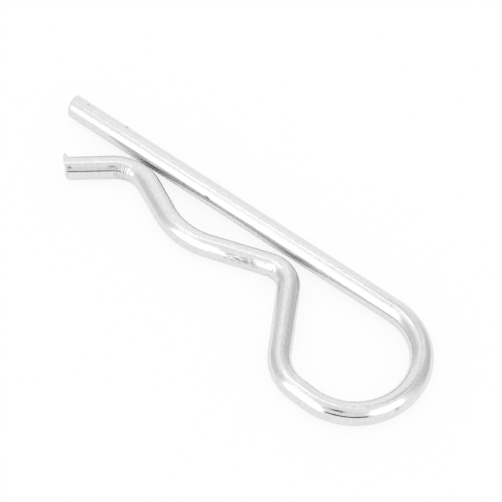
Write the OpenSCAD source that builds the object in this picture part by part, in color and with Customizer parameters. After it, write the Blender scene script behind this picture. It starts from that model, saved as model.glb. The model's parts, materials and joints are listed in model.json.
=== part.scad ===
// R clip, or hitch pin clip: one length of round spring wire, bent in one plane.
//
// The straight leg goes through the cross hole of a shaft. The wavy leg rides over the
// outside of the shaft until the belly hugs it, and the ring is the spring and the handle.
// The clip lies flat on the XY plane, in millimetres. Its straight leg runs along X with
// the free end at -X, and the wavy leg is on the -Y side.

/* [Wire] */
// Diameter of the spring wire
wire_d = 4; // [3:0.1:5]
// Diameter that the wire loses where it is bent
bend_thinning = 0.02; // [0.01:0.01:0.06]

/* [Straight leg] */
// Length of the straight leg, from its free end to the ring
leg_l = 68.8; // [60:0.1:90]

/* [Ring] */
// Inside diameter of the ring
ring_d = 18.1; // [16:0.1:24]
// Straight stretch between the ring and the heel
ring_flat_l = 2.8; // [1:0.1:6]
// Inside radius of the heel, the bend that closes the ring
heel_r = 5.8; // [3:0.1:8]
// Angle that the heel turns through
heel_angle = 56; // [40:1:70]
// Slope of the riser, which climbs from the heel to the neck
riser_angle = 59; // [50:1:70]

/* [Neck] */
// Gap between the neck and the straight leg
neck_gap = 1.2; // [0.6:0.1:3]
// Inside radius of the neck bend
neck_r = 2.8; // [1.5:0.1:4]

/* [Belly] */
// Distance from the straight leg's axis to the inside of the belly
belly_depth = 7.4; // [6.8:0.1:10]
// Inside radius of the belly
belly_r = 11.2; // [6:0.1:14]
// Slope of the wire from the neck down to the belly
dive_angle = 18; // [15:1:26]
// Slope of the wire from the belly up to the hump
climb_angle = 26; // [20:1:32]

/* [Hump and tip] */
// Gap between the hump and the straight leg
hump_gap = 0.55; // [0.1:0.05:2]
// Inside radius of the hump bend
hump_r = 5; // [2:0.1:7]
// Slope of the tip, which flares away from the straight leg
flare_angle = 40; // [30:1:60]
// Length of the straight tip
tip_l = 8; // [4:0.1:14]

/* [Sheared ends] */
// Skew of the shear cut across each end of the wire
shear_angle = 6; // [2:1:15]
// Turn of the tip's cut about the wire, which brings the burr above the clip's middle plane
shear_turn = 24; // [0:1:40]
// Radius that the shear rolls over on the side where it enters
rollover_r = 0.8; // [0.5:0.1:1.4]
// Height of the burr that the shear leaves on the tip, where it breaks out
burr_h = 0.7; // [0.2:0.1:0.8]
// Length of wire that the burr is drawn out of
burr_l = 0.8; // [0.4:0.1:1.5]

/* [Hidden] */
$fn = 96;

wire_r = wire_d / 2;
bend_wire_r = (wire_d - bend_thinning) / 2;

// Bend radii on the wire's axis
ring_axis_r = ring_d / 2 + wire_r;
heel_axis_r = heel_r + wire_r;
neck_axis_r = neck_r + wire_r;
belly_axis_r = belly_r + wire_r;
hump_axis_r = hump_r + wire_r;

// What the ring turns through before the heel takes over
ring_sweep = 180 + riser_angle - heel_angle;

// How far a bend takes the wire sideways while it turns from one heading to another
function sideways(r, from, to) = r * (cos(from) - cos(to));

// Distances of the wavy leg's axis from the straight leg's axis
flat_y = sideways(ring_axis_r, 0, ring_sweep);
heel_y = flat_y + ring_flat_l * sin(ring_sweep);
riser_y = heel_y + sideways(heel_axis_r, ring_sweep, 180 + riser_angle);
neck_y = wire_d + neck_gap;
belly_y = belly_depth + wire_r;
hump_y = wire_d + hump_gap;

// Straight runs of the wavy leg, as long as the bends at their two ends leave them
riser_l = (riser_y - neck_y - sideways(neck_axis_r, 0, riser_angle)) / sin(riser_angle);
dive_l = (belly_y - neck_y - sideways(neck_axis_r + belly_axis_r, 0, dive_angle))
       / sin(dive_angle);
climb_l = (belly_y - hump_y - sideways(belly_axis_r + hump_axis_r, 0, climb_angle))
        / sin(climb_angle);

// The wire from the straight leg to the tip. Each entry is a straight run and the bend
// after it: the run's length, the bend's radius on the axis, and its angle to the left.
bends = [
    [leg_l, ring_axis_r, -ring_sweep],
    [ring_flat_l, heel_axis_r, -heel_angle],
    [riser_l, neck_axis_r, riser_angle + dive_angle],
    [dive_l, belly_axis_r, -dive_angle - climb_angle],
    [climb_l, hump_axis_r, climb_angle + flare_angle],
];

// Each bend runs this many degrees into the thicker straight wire at its ends
bend_lap = 1;

// The clip's outline, whose middle is over the origin
cut_overhang = wire_r * tan(shear_angle);
clip_l = cut_overhang + leg_l + ring_axis_r + bend_wire_r;
ring_depth = sideways(ring_axis_r, 0, min(ring_sweep, 180));
heel_depth = heel_y + sideways(heel_axis_r, min(ring_sweep, 180), 180);
clip_w = wire_r + max(ring_depth, heel_depth) + bend_wire_r;

// The shear cuts at the two ends of the wire. The rollover's axis lies a little less than
// its radius in from the cut and from the wire's side, so it meets both at a shallow edge.
past_wire = 2 * wire_d;
rollover_in = 0.95 * rollover_r;
rollover_y = (wire_r + rollover_in * sin(shear_angle)) / cos(shear_angle) - rollover_in;

// The burr is part of a cone that starts just under the wire's surface
burr_r = 0.75 * wire_r;
burr_y = burr_r - wire_r - burr_h;
burr_root_r = 0.9 * wire_r + burr_y;

// A straight run of wire along X
module run(length) {
    rotate([0, 90, 0])
        cylinder(r = wire_r, h = length);
}

// A bend that starts at the origin, heading along X
module bend(radius, angle) {
    turn = sign(angle);
    translate([0, turn * radius, 0])
        rotate([0, 0, turn > 0 ? -90 - bend_lap : 90 - abs(angle) - bend_lap])
            rotate_extrude(angle = abs(angle) + 2 * bend_lap)
                translate([radius, 0])
                    circle(r = bend_wire_r);
}

// Moves its children from a bend's start to its end
module past_bend(radius, angle) {
    turn = sign(angle);
    translate([0, turn * radius, 0])
        rotate([0, 0, angle])
            translate([0, -turn * radius, 0])
                children();
}

// What the shear takes off the end of a wire that runs along X to the origin: all that is
// past the skew cut, and the corner that it rolls over on the +Y side
module shear_cut() {
    rotate([0, 0, shear_angle]) {
        translate([0, -past_wire, -past_wire])
            cube(2 * past_wire);
        translate([-rollover_in, rollover_y, 0])
            difference() {
                translate([0, 0, -past_wire])
                    cube([past_wire, past_wire, 2 * past_wire]);
                cylinder(r = rollover_r, h = 3 * past_wire, center = true);
            }
    }
}

// The burr on the -Y side of a sheared end at the origin: a lip that widens to the cut, and
// that the cut takes off where it is as wide again
module burr() {
    rotate([0, 0, shear_angle])
        translate([-burr_l, burr_y, 0])
            rotate([0, 90, 0])
                cylinder(r1 = burr_root_r, r2 = 2 * burr_r - burr_root_r, h = 2 * burr_l);
}

// A straight run along X that is sheared off longer wire at its far end. Its children are
// there too, with the origin at the cut.
module sheared_run(length) {
    difference() {
        union() {
            run(length + wire_d);
            translate([length, 0, 0])
                children();
        }
        translate([length, 0, 0])
            shear_cut();
    }
}

// The wavy leg from bend i to the tip, starting at the origin and heading along X
module wavy_leg(i) {
    radius = bends[i][1];
    angle = bends[i][2];
    bend(radius, angle);
    past_bend(radius, angle)
        if (i + 1 < len(bends)) {
            next_run = bends[i + 1][0];
            run(next_run);
            translate([next_run, 0, 0])
                wavy_leg(i + 1);
        } else {
            rotate([-shear_turn, 0, 0])
                sheared_run(tip_l)
                    burr();
        }
}

module clip() {
    color("gainsboro")
        translate([cut_overhang + leg_l - clip_l / 2, clip_w / 2 - wire_r, wire_r]) {
            rotate([0, 0, 180])
                sheared_run(leg_l);
            wavy_leg(0);
        }
}

clip();
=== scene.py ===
"""The looks of the R clip: bright zinc plate on bent spring wire, in a white studio.

The clip's one CAD node is replaced by a finer mesh of the same wire, because its finish, its
sheared ends and the marks of the bending tool follow the wire. The wire's sizes are those of
the CAD source, in millimetres and degrees, and the mesh is placed by the frame.
"""

import json
import math
from typing import NamedTuple

import bpy
import numpy as np
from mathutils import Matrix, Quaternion, Vector, noise


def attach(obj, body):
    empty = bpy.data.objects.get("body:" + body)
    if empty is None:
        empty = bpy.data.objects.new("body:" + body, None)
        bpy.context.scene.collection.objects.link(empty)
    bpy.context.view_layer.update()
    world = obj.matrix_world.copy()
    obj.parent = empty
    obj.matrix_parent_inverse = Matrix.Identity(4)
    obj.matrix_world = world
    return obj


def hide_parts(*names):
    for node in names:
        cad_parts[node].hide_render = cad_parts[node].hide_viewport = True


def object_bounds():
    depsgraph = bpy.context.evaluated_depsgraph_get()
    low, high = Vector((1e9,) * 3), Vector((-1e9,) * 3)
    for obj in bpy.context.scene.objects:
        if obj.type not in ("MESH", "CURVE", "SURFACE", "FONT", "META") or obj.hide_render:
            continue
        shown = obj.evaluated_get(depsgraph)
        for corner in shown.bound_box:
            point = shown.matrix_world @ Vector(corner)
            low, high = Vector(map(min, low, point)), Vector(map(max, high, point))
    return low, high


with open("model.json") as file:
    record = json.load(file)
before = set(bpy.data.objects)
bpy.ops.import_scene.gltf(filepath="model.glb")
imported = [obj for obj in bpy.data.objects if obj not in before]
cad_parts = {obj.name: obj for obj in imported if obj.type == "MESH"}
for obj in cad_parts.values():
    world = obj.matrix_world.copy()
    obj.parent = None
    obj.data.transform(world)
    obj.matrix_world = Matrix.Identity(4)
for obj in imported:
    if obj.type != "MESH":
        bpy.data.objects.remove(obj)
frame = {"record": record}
cad_low, cad_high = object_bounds()

# A millimetre in Blender's metres, and white
MM = 0.001
WHITE = (1, 1, 1, 1)

# ---- The wire, with the radii of its bends on its axis ----

WIRE_R = 2.0
LEG_L = 68.8
RING_R = 9.05 + WIRE_R
RING_FLAT_L = 2.8
HEEL_R = 5.8 + WIRE_R
HEEL_ANGLE = 56
RISER_ANGLE = 59
NECK_R = 2.8 + WIRE_R
NECK_GAP = 1.2
BELLY_R = 11.2 + WIRE_R
BELLY_DEPTH = 7.4
DIVE_ANGLE = 18
CLIMB_ANGLE = 26
HUMP_R = 5.0 + WIRE_R
HUMP_GAP = 0.55
FLARE_ANGLE = 40
TIP_L = 8.0

# A bend takes this much off the wire's radius, which is full again this far past the bend
BEND_THINNING = 0.01
BEND_BLEND = 0.5

# The mesh lies this far inside the CAD wire, so that its box is never the larger one
SKIN = 0.01

# ---- The sheared ends ----

# The skew of both cuts, and the turn of the tip's cut about the wire
SHEAR_ANGLE = 6
SHEAR_SLOPE = math.tan(math.radians(SHEAR_ANGLE))
TIP_SHEAR_TURN = -24

# The edge of a cut is rolled over where the shear enters, and sharper elsewhere. The rollover
# ends where the cosine of the angle from its middle falls to ROLLOVER_END.
LEG_ROLLOVER_R = 0.5
TIP_ROLLOVER_R = 0.6
ROLLOVER_END = -0.2
EDGE_R = 0.08

# The tip's burr: its height, how far back from the rim its crest and its root are, the share
# of its height that it has at the rim, and half the angle that it spans
BURR_H = 0.7
BURR_CREST = 0.3
BURR_ROOT = 0.85
BURR_AT_RIM = 0.45
BURR_HALF_ANGLE = 62

# How sharply the burr falls off round the wire, and the noise that makes it ragged
BURR_SHARPNESS = 1.5
BURR_RAGGED = 0.22
BURR_WAVES = 3.1
BURR_SEED = 0.5

# The torn part of a cut starts between these distances from the wire's axis, at a border that
# wanders. Its tears end TEAR_MARGIN inside the rim.
TORN_BORDER = (0.5, 0.2)
TORN_WANDER = 0.15
TORN_WANDER_WAVES = 1.5
TORN_WANDER_SEED = (0.3, 7.0)
TEAR_MARGIN = 0.25
TEAR_DEPTH = 0.05
TEAR_WAVES = (1.8, 3.2)
TEAR_SEED = 4.0

# ---- Marks of the bending tool ----


class Mark(NamedTuple):
    """A marked stretch of wire: the distances from the tip where it starts and ends, the angle
    round the wire from its left side to its middle, and half the angle that it spans."""

    start: float
    end: float
    middle: float
    half_angle: float


class Hollow(NamedTuple):
    """A shallow hollow: the distances from the tip where it starts, where it is deepest and
    where it ends, and how deep it gets."""

    start: float
    deepest: float
    end: float
    depth: float


class Nick(NamedTuple):
    """A nick or a deep scratch: the distance from the tip and the angle round the wire from
    its left side to its middle, its half sizes, and its strength beside the deepest."""

    place: float
    middle: float
    half_length: float
    half_width: float
    strength: float


class Waves(NamedTuple):
    """Noise on the wire's surface: how close its waves are along and round it, and a seed."""

    along: float
    around: float
    seed: float


# A mark fades in and out along the wire over these lengths. Round the wire it is full up to
# this share of its half angle.
MARK_FADE_IN = 1.0
MARK_FADE_OUT = 1.5
MARK_CORE = 0.6

# Creases across the inside of the hump, at these distances from the tip. They waver by up to
# CREASE_WAVER, and they break off where the break noise falls through CREASE_BREAK.
WRINKLED = Mark(7.8, 13.2, 22, 68)
CREASES = (8.9, 9.4, 9.9, 10.6, 11.2, 12.0)
CREASE_HALF_WIDTH = 0.22
CREASE_DEPTH = 0.025
CREASE_WAVER = 0.5
CREASE_WAVER_WAVES = Waves(0.9, 1.7, 0)
CREASE_BREAK = (-0.5, 0.3)
CREASE_BREAK_WAVES = Waves(2.3, 2.2, 9)

# Fine scratches along the dive, where the noise rises through SCRATCH_EDGE
SCRATCHED = Mark(35.6, 42.4, 37, 22)
SCRATCH_DEPTH = 0.005
SCRATCH_EDGE = (-0.2, 0.15)
SCRATCH_WAVES = Waves(0.9, 10, 5)

# Hollows that the tool pressed inside the hump and on the dive. Round the wire they share one
# middle and half angle, and are full up to HOLLOW_CORE of it.
HOLLOWS = [
    Hollow(8.6, 11.9, 14.8, 0.17),
    Hollow(34.8, 41.0, 44.6, 0.075),
]
HOLLOW_MIDDLE = 41
HOLLOW_HALF_ANGLE = 120
HOLLOW_CORE = 0.5

# Nicks from the tip to the leg's end, with the deep scratches of the dive among them
NICKS = [
    Nick(0.9, 57, 0.6, 0.4, 1.0),
    Nick(8.2, 57, 1.2, 0.3, 1.0),
    Nick(37.4, 40, 1.0, 0.16, 0.4),
    Nick(38.5, 35, 0.9, 0.2, 0.7),
    Nick(38.8, 45, 0.9, 0.14, 0.3),
    Nick(39.9, 35, 1.0, 0.22, 0.8),
    Nick(41.0, 44, 0.9, 0.16, 0.6),
    Nick(41.3, 38, 0.8, 0.2, 0.7),
    Nick(45.0, 40, 0.25, 0.7, 0.8),
    Nick(86.6, 33, 0.5, 0.4, 0.6),
    Nick(145.8, 148, 0.9, 0.35, 1.0),
    Nick(165.6, 51, 0.5, 0.5, 1.0),
    Nick(173.7, 72, 0.45, 0.35, 0.5),
]
NICK_DEPTH = 0.025

# ---- The mesh ----

# Points in each ring, and rings across a cut and over its edge
SIDES = 96
CUT_RINGS = 18
EDGE_RINGS = 5

# Distances between the rings along the wire. The fine one is for the marks and the end zones,
# where the rings lean more and more with the cut.
RING_STEP = 0.35
FINE_STEP = 0.09
END_ZONE = 3.0


def smooth(zero, one, value):
    """A smooth step from 0 at one value to 1 at another, which may be the smaller."""
    share = np.clip((value - zero) / (one - zero), 0, 1)
    return share * share * (3 - 2 * share)


def degrees_from(middle, angle):
    """Degrees from a middle, given in degrees, to each angle in radians, the short way."""
    return np.degrees(np.abs(np.angle(np.exp(1j * (angle - math.radians(middle))))))


def noise_of(*coordinates):
    """Smooth noise from -1 to 1 at each place of the arrays."""
    flat = [np.ravel(c) for c in np.broadcast_arrays(*coordinates)]
    values = [noise.noise(Vector(place)) for place in zip(*flat)]
    return np.reshape(values, np.broadcast_shapes(*(np.shape(c) for c in coordinates)))


def wire_noise(waves, from_tip, angle):
    """Noise on the wire's surface, by the distance from the tip and the angle round it."""
    across = waves.around * np.cos(angle)
    up = waves.around * np.sin(angle)
    return noise_of(waves.along * from_tip, across, up + waves.seed)


def sideways(radius, start, end):
    """How far a bend takes the wire sideways while it turns from one heading to another."""
    return radius * (math.cos(math.radians(start)) - math.cos(math.radians(end)))


def straight(length):
    """A straight run of wire, as its length and its angle to the left."""
    return length, 0


def bend(radius, angle):
    """A bend, as its length and its angle to the left."""
    return radius * math.radians(abs(angle)), angle


def slope(shift, angle):
    """A straight run that takes the wire sideways by a shift, at an angle."""
    return straight(shift / math.sin(math.radians(angle)))


def wire_runs():
    """The wire from the leg's cut to the tip's."""
    ring_sweep = 180 + RISER_ANGLE - HEEL_ANGLE
    neck_y = 2 * WIRE_R + NECK_GAP
    belly_y = BELLY_DEPTH + WIRE_R
    hump_y = 2 * WIRE_R + HUMP_GAP
    flat_y = sideways(RING_R, 0, ring_sweep)
    heel_y = flat_y + RING_FLAT_L * math.sin(math.radians(ring_sweep))
    riser_y = heel_y + sideways(HEEL_R, ring_sweep, ring_sweep + HEEL_ANGLE)
    return [
        straight(LEG_L),
        bend(RING_R, -ring_sweep),
        straight(RING_FLAT_L),
        bend(HEEL_R, -HEEL_ANGLE),
        slope(riser_y - neck_y - sideways(NECK_R, 0, RISER_ANGLE), RISER_ANGLE),
        bend(NECK_R, RISER_ANGLE + DIVE_ANGLE),
        slope(belly_y - neck_y - sideways(NECK_R + BELLY_R, 0, DIVE_ANGLE), DIVE_ANGLE),
        bend(BELLY_R, -DIVE_ANGLE - CLIMB_ANGLE),
        slope(belly_y - hump_y - sideways(BELLY_R + HUMP_R, 0, CLIMB_ANGLE), CLIMB_ANGLE),
        bend(HUMP_R, CLIMB_ANGLE + FLARE_ANGLE),
        straight(TIP_L),
    ]


class Stretch(NamedTuple):
    """A run or a bend of the axis: where along the wire it starts, its length, its first place
    and heading, and its turn to the left, in radians."""

    start: float
    length: float
    place: np.ndarray
    heading: float
    turn: float

    def at(self, beyond):
        """Places and headings at distances from its start."""
        headings = self.heading + self.turn * beyond / self.length
        if not self.turn:
            way = np.array([math.cos(self.heading), math.sin(self.heading)])
            return self.place + beyond[:, None] * way, headings
        radius = self.length / self.turn
        left = np.array([-math.sin(self.heading), math.cos(self.heading)])
        rights = np.stack([np.sin(headings), -np.cos(headings)], 1)
        return self.place + radius * left + radius * rights, headings


class Axis:
    """The wire's axis in its plane, by the distance along it."""

    def __init__(self, start, runs):
        self.length = 0.0
        self.stretches = []
        place = np.array(start)
        heading = 0.0
        for length, angle in runs:
            stretch = Stretch(self.length, length, place, heading, math.radians(angle))
            self.stretches.append(stretch)
            places, headings = stretch.at(np.array([length]))
            place = places[0]
            heading = headings[0]
            self.length += length

    def at(self, along):
        """Places, unit vectors to the left, and shares of bending (1 in a bend). The first
        and the last stretch carry on past the axis's ends."""
        starts = [stretch.start for stretch in self.stretches]
        which = np.maximum(np.searchsorted(starts, along, side="right") - 1, 0)
        places = np.zeros((len(along), 2))
        headings = np.zeros(len(along))
        bent = np.zeros(len(along))
        for i, stretch in enumerate(self.stretches):
            beyond = along - stretch.start
            here = which == i
            places[here], headings[here] = stretch.at(beyond[here])
            if stretch.turn:
                inside = np.minimum(beyond, stretch.length - beyond)
                bent = np.maximum(bent, smooth(-BEND_BLEND, 0, inside))
        left = np.stack([-np.sin(headings), np.cos(headings)], 1)
        return places, left, bent


class Cut:
    """A sheared end of the wire. Angles round it are counted from the side where the shear
    enters, and a reach is how far the end's surface stands out along the wire."""

    def __init__(self, entry, rollover_r, burr_h):
        self.entry = entry
        self.rollover_r = rollover_r
        self.burr_h = burr_h

    def burr(self, angle):
        """Height of the burr round the wire, highest where the shear breaks out."""
        waves = noise_of(BURR_WAVES * np.cos(angle), BURR_WAVES * np.sin(angle), BURR_SEED)
        ragged = (1 + BURR_RAGGED * waves) / (1 + BURR_RAGGED)
        away = np.clip(degrees_from(180, angle) / BURR_HALF_ANGLE, 0, 1)
        return self.burr_h * ragged * np.cos(away * math.pi / 2) ** BURR_SHARPNESS

    def rim(self, angle):
        """Radius of the end's rim."""
        return WIRE_R + BURR_AT_RIM * self.burr(angle)

    def rounding(self, angle):
        """Radius of the edge between the end and the wire's side."""
        entering = smooth(ROLLOVER_END, 1, np.cos(angle))
        return EDGE_R + (self.rollover_r - EDGE_R) * entering

    def reach(self, radius, angle):
        """The end's surface: the skewed cut, its rounded rim, and the torn part of it that
        the shear leaves past its smooth band."""
        across = radius * np.cos(angle)
        up = radius * np.sin(angle)
        from_rim = self.rim(angle) - radius
        skewed = -across * SHEAR_SLOPE
        rounding = self.rounding(angle)
        outward = np.clip(1 - from_rim / rounding, 0, 1)
        rounded = rounding * (1 - np.sqrt(1 - outward**2))
        wander = TORN_WANDER * noise_of(TORN_WANDER_WAVES * up, *TORN_WANDER_SEED)
        torn = smooth(*TORN_BORDER, across + wander) * smooth(0, TEAR_MARGIN, from_rim)
        waves = noise_of(TEAR_WAVES[0] * across, TEAR_WAVES[1] * up, TEAR_SEED)
        return skewed - rounded - torn * TEAR_DEPTH * (1 - waves)

    def lip(self, depth, angle):
        """How far the burr stands out of the wire's side, at a depth behind the rim."""
        before_crest = 1 - np.clip(depth / BURR_CREST, 0, 1)
        rise = 1 - (1 - BURR_AT_RIM) * before_crest**2
        return self.burr(angle) * rise * smooth(BURR_ROOT, BURR_CREST, depth)

    def rings(self, around):
        """Radii and reaches of the end's rings, from its middle to its rim."""
        angle = around - self.entry
        rim = self.rim(angle)
        flat = np.linspace(0, 1, CUT_RINGS + 1)[1:, None] * (rim - EDGE_R)
        bows = np.linspace(0, math.pi / 2, EDGE_RINGS + 1)[1:, None]
        radii = np.concatenate([flat, rim - EDGE_R * (1 - np.sin(bows))])
        return radii, np.array([self.reach(radius, angle) for radius in radii])


def tool_mark(mark, from_tip, angle):
    """How fully each place lies in a marked stretch, from 0 to 1."""
    fade_in = smooth(mark.start, mark.start + MARK_FADE_IN, from_tip)
    fade_out = smooth(mark.end, mark.end - MARK_FADE_OUT, from_tip)
    away = degrees_from(mark.middle, angle)
    return fade_in * fade_out * smooth(mark.half_angle, MARK_CORE * mark.half_angle, away)


def creased(from_tip, angle):
    """How fully each place lies in a crease across the wire, from 0 to 1."""
    place = from_tip + CREASE_WAVER * wire_noise(CREASE_WAVER_WAVES, from_tip, angle)
    lines = [smooth(CREASE_HALF_WIDTH, 0, np.abs(place - crease)) for crease in CREASES]
    whole = smooth(*CREASE_BREAK, wire_noise(CREASE_BREAK_WAVES, from_tip, angle))
    return tool_mark(WRINKLED, from_tip, angle) * whole * np.max(lines, axis=0)


def scratched(from_tip, angle):
    """How fully each place lies in a scratch along the wire, from 0 to 1."""
    lines = smooth(*SCRATCH_EDGE, wire_noise(SCRATCH_WAVES, from_tip, angle))
    return tool_mark(SCRATCHED, from_tip, angle) * lines


def nicked(from_tip, angle):
    """How fully each place lies in a nick, from 0 to 1."""
    share = 0
    for nick in NICKS:
        lengths = (from_tip - nick.place) / nick.half_length
        widths = np.radians(degrees_from(nick.middle, angle)) * WIRE_R / nick.half_width
        share = np.maximum(share, nick.strength * smooth(1, 0, np.hypot(lengths, widths)))
    return share


def mark_depth(from_tip, angle):
    """How deep the marks are: hollows, creases, scratches and nicks."""
    hollows = 0
    for hollow in HOLLOWS:
        span = (hollow.start, hollow.deepest, hollow.end)
        hollows = hollows + hollow.depth * np.interp(from_tip, span, (0, 1, 0))
    away = degrees_from(HOLLOW_MIDDLE, angle)
    hollows = hollows * smooth(HOLLOW_HALF_ANGLE, HOLLOW_CORE * HOLLOW_HALF_ANGLE, away)
    creases = CREASE_DEPTH * creased(from_tip, angle)
    scratches = SCRATCH_DEPTH * scratched(from_tip, angle)
    return hollows + creases + scratches + NICK_DEPTH * nicked(from_tip, angle)


def ring_places(length):
    """Distances of the rings from the leg's cut, close together where the shape is fine."""
    marked = [(mark.start, mark.end) for mark in (WRINKLED, SCRATCHED)]
    marked += [(nick.place - nick.half_length, nick.place + nick.half_length) for nick in NICKS]
    fine = [(0, END_ZONE), (length - END_ZONE, length)]
    fine += [(length - end, length - start) for start, end in marked]
    places = []
    place = 0.0
    while place < length:
        places.append(place)
        place += FINE_STEP if any(low <= place < high for low, high in fine) else RING_STEP
    return np.array(places + [length])


def straight_wire(length):
    """The wire's points before it is bent: distances along it, radii, angles round it from its
    left side, and 1 on the cuts. They run from the middle of the leg's cut over its rim, along
    the side and in to the middle of the tip's cut. The two middles come last."""
    around = np.arange(SIDES) / SIDES * 2 * math.pi
    leg_cut = Cut(math.pi, LEG_ROLLOVER_R, 0.0)
    tip_cut = Cut(math.radians(TIP_SHEAR_TURN), TIP_ROLLOVER_R, BURR_H)
    leg_radii, leg_reach = leg_cut.rings(around)
    tip_radii, tip_reach = tip_cut.rings(around)

    places = ring_places(length)[1:-1, None]
    from_tip = length - places
    leg_lean = np.clip(1 - places / END_ZONE, 0, 1) * leg_reach[-1]
    tip_lean = np.clip(1 - from_tip / END_ZONE, 0, 1) * tip_reach[-1]
    side_along = places - leg_lean + tip_lean
    tip_depth = length + tip_reach[-1] - side_along
    lip = tip_cut.lip(tip_depth, around - tip_cut.entry)
    side_radii = WIRE_R + lip - mark_depth(from_tip, around)

    along = np.concatenate([-leg_reach, side_along, length + tip_reach[::-1]])
    radii = np.concatenate([leg_radii, side_radii, tip_radii[::-1]])
    angles = np.broadcast_to(around, radii.shape)
    on_cut = np.ones(radii.shape)
    on_cut[len(leg_radii) : -len(tip_radii)] = 0
    middles = [-leg_cut.reach(0.0, 0.0), length + tip_cut.reach(0.0, 0.0)]
    return (
        np.append(along, middles),
        np.append(radii, [0, 0]),
        np.append(angles, [0, 0]),
        np.append(on_cut, [1, 1]),
    )


def wire_faces(rings):
    """Faces between neighbouring rings, and fans from the first and last ring to the middles."""
    here = np.arange(SIDES)
    beside = np.roll(here, -1)
    first = np.arange(rings - 1)[:, None] * SIDES
    second = first + SIDES
    corners = [first + here, first + beside, second + beside, second + here]
    faces = np.stack(corners, -1).reshape(-1, 4).tolist()
    last = (rings - 1) * SIDES
    leg_middle = rings * SIDES
    tip_middle = leg_middle + 1
    faces += [(a, leg_middle, b) for a, b in zip(here, beside)]
    faces += [(last + a, last + b, tip_middle) for a, b in zip(here, beside)]
    return faces


def add_values(mesh, name, values):
    """A number at each of the mesh's points, for the material."""
    attribute = mesh.attributes.new(name, "FLOAT", "POINT")
    attribute.data.foreach_set("value", values.astype(np.float32))


def build_wire():
    """The wire's mesh, with what the material reads at each point."""
    leg = next(mount for mount in frame["record"]["mounts"] if mount["name"] == "straight_leg")
    overhang = WIRE_R * SHEAR_SLOPE
    axis = Axis((cad_low.x / MM + overhang, leg["pos_m"][1] / MM), wire_runs())
    along, radii, angles, on_cut = straight_wire(axis.length)
    across = radii * np.cos(angles)
    up = radii * np.sin(angles)
    places, left, bent = axis.at(along)
    slim = 1 - (SKIN + BEND_THINNING * bent) / WIRE_R
    spread = places + (slim * across)[:, None] * left
    height = leg["pos_m"][2] / MM + slim * up

    mesh = bpy.data.meshes.new("wire")
    mesh.from_pydata(np.column_stack([spread, height]) * MM, [], wire_faces(len(radii) // SIDES))
    mesh.update()
    mesh.shade_smooth()
    unbent = np.column_stack([along, across, up]) * MM
    attribute = mesh.attributes.new("wire", "FLOAT_VECTOR", "POINT")
    attribute.data.foreach_set("vector", unbent.astype(np.float32).ravel())
    from_tip = axis.length - along
    # Creases and scratches: the material makes them rougher, and darker as painted shade in the
    # creases and painted dark reflections along the scratches
    add_values(mesh, "scuff_and_painted_shade", np.maximum(creased(from_tip, angles), scratched(from_tip, angles)))
    # Nicks: the material darkens them as painted dark reflections, over their shallow real dents
    add_values(mesh, "nick", nicked(from_tip, angles))
    add_values(mesh, "cut", on_cut)
    piece = bpy.data.objects.new("wire", mesh)
    bpy.context.scene.collection.objects.link(piece)
    return piece


# ---- Materials ----


class Nodes:
    """A node tree that is written as nested calls."""

    def __init__(self, owner):
        owner.use_nodes = True
        self.tree = owner.node_tree
        self.tree.nodes.clear()

    def add(self, kind, inputs, **settings):
        """A node, with its inputs by name or number, and its settings."""
        node = self.tree.nodes.new(kind)
        for name, value in settings.items():
            setattr(node, name, value)
        for name, value in inputs.items():
            if isinstance(value, bpy.types.NodeSocket):
                self.tree.links.new(value, node.inputs[name])
            else:
                node.inputs[name].default_value = value
        return node

    def calc(self, operation, *values):
        """The result of a Math node."""
        return self.add("ShaderNodeMath", dict(enumerate(values)), operation=operation).outputs[0]

    def attribute(self, name, output):
        """What the mesh holds under a name at each point."""
        return self.add("ShaderNodeAttribute", {}, attribute_name=name).outputs[output]

    def pattern(self, vector, per_mm, detail):
        """Noise with so many waves to the millimetre along, across and up the wire."""
        scale = [waves / MM for waves in per_mm]
        mapped = self.add("ShaderNodeMapping", {"Vector": vector, "Scale": scale}).outputs[0]
        inputs = {"Vector": mapped, "Scale": 1.0, "Detail": detail}
        return self.add("ShaderNodeTexNoise", inputs).outputs[0]

    def mix(self, share, first, second):
        """The first value where the share is 0, and the second where it is 1."""
        inputs = {"Factor": share, "A": first, "B": second}
        return self.add("ShaderNodeMix", inputs).outputs[0]

    def ramp(self, value, low, high, to_low, to_high):
        """A value carried from one range to another, and held at its ends."""
        inputs = {
            "Value": value,
            "From Min": low,
            "From Max": high,
            "To Min": to_low,
            "To Max": to_high,
        }
        return self.add("ShaderNodeMapRange", inputs).outputs["Result"]


# Patterns of the plate: waves to the millimetre along, across and up the wire, and how many
# finer layers each has
DRAWN = ((0.7, 3.0, 3.0), 3.0)
DIMPLED = ((1.2, 1.5, 1.5), 2.0)
WAVY = ((0.3, 0.45, 0.45), 1.0)
GRAIN = ((1.8, 2.2, 2.2), 2.0)
HAZE = ((0.25, 0.9, 0.9), 4.0)
TORN = ((5.0, 4.0, 9.0), 5.0)

# Heights of the relief on the wire's side and on its cuts, beside RELIEF_UNIT in millimetres
DRAWN_HEIGHT = 0.55
DIMPLED_HEIGHT = 2.5
WAVY_HEIGHT = 6.0
TORN_HEIGHT = 6.0
RELIEF_UNIT = 0.004

# Roughness of the side, which follows the haze, of the cuts, and what a scuff adds to it
HAZE_RANGE = (0.35, 0.7)
SIDE_ROUGHNESS = (0.1, 0.18)
SCUFF_ROUGHNESS = 0.15
CUT_ROUGHNESS = 0.42

# Grey of the plate, which follows the grain, and the shares of it that scuffs and nicks keep,
# where it is darkened as painted shade and painted dark reflections
GRAIN_RANGE = (0.3, 0.7)
PLATE_GREY = (0.73, 0.81)
# Painted shade in the hump's creases and painted dark reflections along the dive's scratches
SCUFF_PAINTED_SHADE_KEEPS = 0.66
# Painted dark reflections in the nicks
NICK_PAINTED_DARK_KEEPS = 0.4


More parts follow.
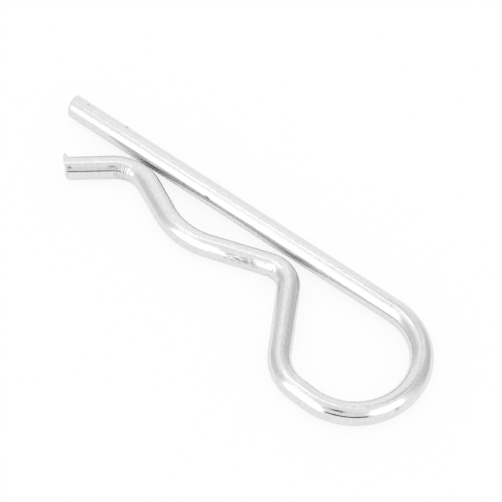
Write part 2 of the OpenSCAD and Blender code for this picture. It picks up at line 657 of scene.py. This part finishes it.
def zinc():
    """Bright zinc plate on drawn wire."""
    material = bpy.data.materials.new("zinc")
    n = Nodes(material)
    wire = n.attribute("wire", "Vector")
    cut = n.attribute("cut", "Fac")
    scuff_and_painted_shade = n.attribute("scuff_and_painted_shade", "Fac")
    nick = n.attribute("nick", "Fac")

    drawn = n.calc("MULTIPLY", n.pattern(wire, *DRAWN), DRAWN_HEIGHT)
    dimpled = n.calc("MULTIPLY_ADD", n.pattern(wire, *DIMPLED), DIMPLED_HEIGHT, drawn)
    wavy = n.calc("MULTIPLY_ADD", n.pattern(wire, *WAVY), WAVY_HEIGHT, dimpled)
    torn = n.calc("MULTIPLY", n.pattern(wire, *TORN), TORN_HEIGHT)
    relief = {"Height": n.mix(cut, wavy, torn), "Strength": 1.0, "Distance": RELIEF_UNIT * MM}

    hazy = n.ramp(n.pattern(wire, *HAZE), *HAZE_RANGE, *SIDE_ROUGHNESS)
    scuffed = n.calc("MULTIPLY_ADD", scuff_and_painted_shade, SCUFF_ROUGHNESS, hazy)

    grey = n.ramp(n.pattern(wire, *GRAIN), *GRAIN_RANGE, *PLATE_GREY)
    # Painted shade in the creases and painted dark reflections along the dive's scratches
    grey = n.calc("MULTIPLY", grey, n.ramp(scuff_and_painted_shade, 0.0, 1.0, 1.0, SCUFF_PAINTED_SHADE_KEEPS))
    # Painted dark reflections in the nicks
    grey = n.calc("MULTIPLY", grey, n.ramp(nick, 0.0, 1.0, 1.0, NICK_PAINTED_DARK_KEEPS))

    inputs = {
        "Base Color": grey,
        "Metallic": 1.0,
        "Roughness": n.mix(cut, scuffed, CUT_ROUGHNESS),
        "Normal": n.add("ShaderNodeBump", relief).outputs[0],
    }
    shader = n.add("ShaderNodeBsdfPrincipled", inputs).outputs[0]
    n.add("ShaderNodeOutputMaterial", {"Surface": shader})
    return material


# ---- Studio ----


class Card(NamedTuple):
    """A card as the clip sees it: the azimuth and elevation of its middle, half its width and
    half its height, its roll and the width of its soft edge, all in degrees, its level beside
    the room's 1, and its distance in metres."""

    azimuth: float
    elevation: float
    half_width: float
    half_height: float
    roll: float
    soft_edge: float
    level: float
    distance: float


# Softboxes, grey walls and the dark camera, as the plating mirrors them. The image of a near
# card moves along the wire faster than that of a far one.
CARDS = {
    "left_softbox": Card(-11, 36.5, 27, 30.5, 9, 9, 1.45, 0.9),
    "right_softbox": Card(83, 44, 21.5, 27, 0, 7, 1.5, 0.9),
    "ceiling": Card(-75, 68, 14, 7, 0, 5, 1.2, 0.88),
    "ceiling_strip": Card(-127, 67, 12, 5.5, 0, 4, 1.45, 0.85),
    "back_glow": Card(-150, 44, 18, 20, 0, 10, 1.05, 0.92),
    "back_shade": Card(166, 48, 13, 20, 0, 12, 0.84, 0.078),
    "upper_shade": Card(150, 52, 19, 14, 0, 12, 0.72, 0.94),
    "top_shade": Card(-171, 64, 12, 8, 0, 7, 0.68, 0.93),
    "zenith": Card(0, 84, 12, 10, 0, 8, 0.89, 0.8),
    "left_wall": Card(-74, 22, 37, 38, 0, 30, 0.74, 0.95),
    "right_wall": Card(151, 10, 43, 50, 0, 40, 0.65, 0.96),
    "front_gap": Card(33, 45, 20.5, 24, 3, 1, 0.87, 0.3),
    "front_dark": Card(34.5, 20, 23.5, 5.5, 0, 1, 0.0, 0.25),
    "lens": Card(37.8, 54, 6.5, 9, 0, 3, 0.05, 0.114),
}


def direction(azimuth, elevation):
    """Unit vector from the clip, with azimuth 0 to -Y and 90 to +X."""
    a = math.radians(azimuth)
    e = math.radians(elevation)
    return Vector((math.sin(a) * math.cos(e), -math.cos(a) * math.cos(e), math.sin(e)))


def look(way, roll):
    """The rotation that turns -Z along a direction, rolled about it."""
    return way.to_track_quat("-Z", "Y") @ Quaternion((0, 0, 1), math.radians(roll))


def add_plane(name, half_w, half_h, material):
    """A staged rectangle in its own XY plane."""
    mesh = bpy.data.meshes.new(name)
    signs = [(-1, -1), (1, -1), (1, 1), (-1, 1)]
    mesh.from_pydata([(x * half_w, y * half_h, 0) for x, y in signs], [], [(0, 1, 2, 3)])
    mesh.materials.append(material)
    plane = bpy.data.objects.new(name, mesh)
    bpy.context.scene.collection.objects.link(plane)
    return plane


def card_material(name, fades, level):
    """A card that shines evenly. Its edges fade out over these shares of its half sizes."""
    material = bpy.data.materials.new(name)
    n = Nodes(material)
    place = n.add("ShaderNodeTexCoord", {}).outputs["Generated"]
    parts = n.add("ShaderNodeSeparateXYZ", {"Vector": place}).outputs
    cover = 1.0
    for side, share in zip(("X", "Y"), fades):
        from_edge = n.calc("PINGPONG", parts[side], 0.5)
        inputs = {"Value": from_edge, "From Min": 0.0, "From Max": share / 2}
        fade = n.add("ShaderNodeMapRange", inputs, interpolation_type="SMOOTHSTEP")
        cover = n.calc("MULTIPLY", fade.outputs["Result"], cover)
    clear = n.add("ShaderNodeBsdfTransparent", {}).outputs[0]
    shine = n.add("ShaderNodeEmission", {"Strength": level}).outputs[0]
    mixed = n.add("ShaderNodeMixShader", {0: cover, 1: clear, 2: shine}).outputs[0]
    n.add("ShaderNodeOutputMaterial", {"Surface": mixed})
    return material


def add_cards():
    """The studio round the clip. Only the plating sees it: the floor gets plain light."""
    for name, card in CARDS.items():
        across = math.tan(math.radians(card.half_width))
        up = math.tan(math.radians(card.half_height))
        edge = math.tan(math.radians(card.soft_edge))
        material = card_material(name, (edge / across, edge / up), card.level)
        plane = add_plane(name, card.distance * across, card.distance * up, material)
        way = direction(card.azimuth, card.elevation)
        plane.location = way * card.distance
        plane.rotation_mode = "QUATERNION"
        plane.rotation_quaternion = look(way, card.roll)
        plane.visible_camera = False
        plane.visible_diffuse = False
        plane.visible_shadow = False


def add_room():
    """A plain white room."""
    world = bpy.data.worlds.new("room")
    n = Nodes(world)
    white = n.add("ShaderNodeBackground", {"Color": WHITE, "Strength": 1.0}).outputs[0]
    n.add("ShaderNodeOutputWorld", {"Surface": white})
    bpy.context.scene.world = world


# Half the floor's side in metres, and how far it is lifted from its shadow to plain white
FLOOR_HALF = 3.0
FLOOR_LIFT = 0.85

# What the plating mirrors of it is lifted less where less of the floor is open, and not at all
# close under the wire: ambient occlusion paints shade round the wire into the floor's
# reflections, on top of its real shadow. The open share is taken within FLOOR_CORNER, in metres,
# and the lift grows over this range of it.
FLOOR_CORNER = 0.008
FLOOR_OPEN = (0.15, 0.65)


def floor_material():
    """White and matt. What looks at it sees it lifted to plain white, and its shadow stays."""
    material = bpy.data.materials.new("floor")
    n = Nodes(material)
    ray = n.add("ShaderNodeLightPath", {}).outputs
    straight_on = n.calc("ADD", ray["Is Camera Ray"], ray["Is Transmission Ray"])
    lift = n.calc("MULTIPLY", straight_on, FLOOR_LIFT)
    open_share = n.add("ShaderNodeAmbientOcclusion", {"Distance": FLOOR_CORNER}).outputs["AO"]
    # Painted shade: ambient occlusion holds back the mirrored lift round the wire
    mirrored = n.ramp(open_share, *FLOOR_OPEN, 0.0, FLOOR_LIFT)
    lift = n.calc("MULTIPLY_ADD", ray["Is Glossy Ray"], mirrored, lift)
    matt = n.add("ShaderNodeBsdfDiffuse", {"Color": WHITE}).outputs[0]
    shine = n.add("ShaderNodeEmission", {"Strength": 1.0}).outputs[0]
    mixed = n.add("ShaderNodeMixShader", {0: lift, 1: matt, 2: shine}).outputs[0]
    n.add("ShaderNodeOutputMaterial", {"Surface": mixed})
    return material


# ---- Camera ----

# Where the photograph was taken from, as seen from the place that it aims at, and the lens, in
# degrees and millimetres
CAMERA_AZIMUTH = 37.05
CAMERA_ELEVATION = 55.07
CAMERA_ROLL = 1.1
CAMERA_DISTANCE = 420
CAMERA_AIM = (2.29, 5.9, 2.0)
CAMERA_SENSOR = 36.0
CAMERA_LENS = 180.68
CAMERA_NEAR = 10


def add_camera():
    """The photograph's camera."""
    data = bpy.data.cameras.new("camera")
    data.sensor_width = CAMERA_SENSOR
    data.lens = CAMERA_LENS
    data.clip_start = CAMERA_NEAR * MM
    camera = bpy.data.objects.new("camera", data)
    bpy.context.scene.collection.objects.link(camera)
    back = direction(CAMERA_AZIMUTH, CAMERA_ELEVATION)
    camera.location = (Vector(CAMERA_AIM) + back * CAMERA_DISTANCE) * MM
    camera.rotation_mode = "QUATERNION"
    camera.rotation_quaternion = look(-back, CAMERA_ROLL)
    bpy.context.scene.camera = camera


wire = build_wire()
wire.data.materials.append(zinc())
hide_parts("clip")
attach(wire, "root")

add_room()
add_cards()
add_plane("floor", FLOOR_HALF, FLOOR_HALF, floor_material())
add_camera()
bpy.context.scene.view_settings.view_transform = "Standard"
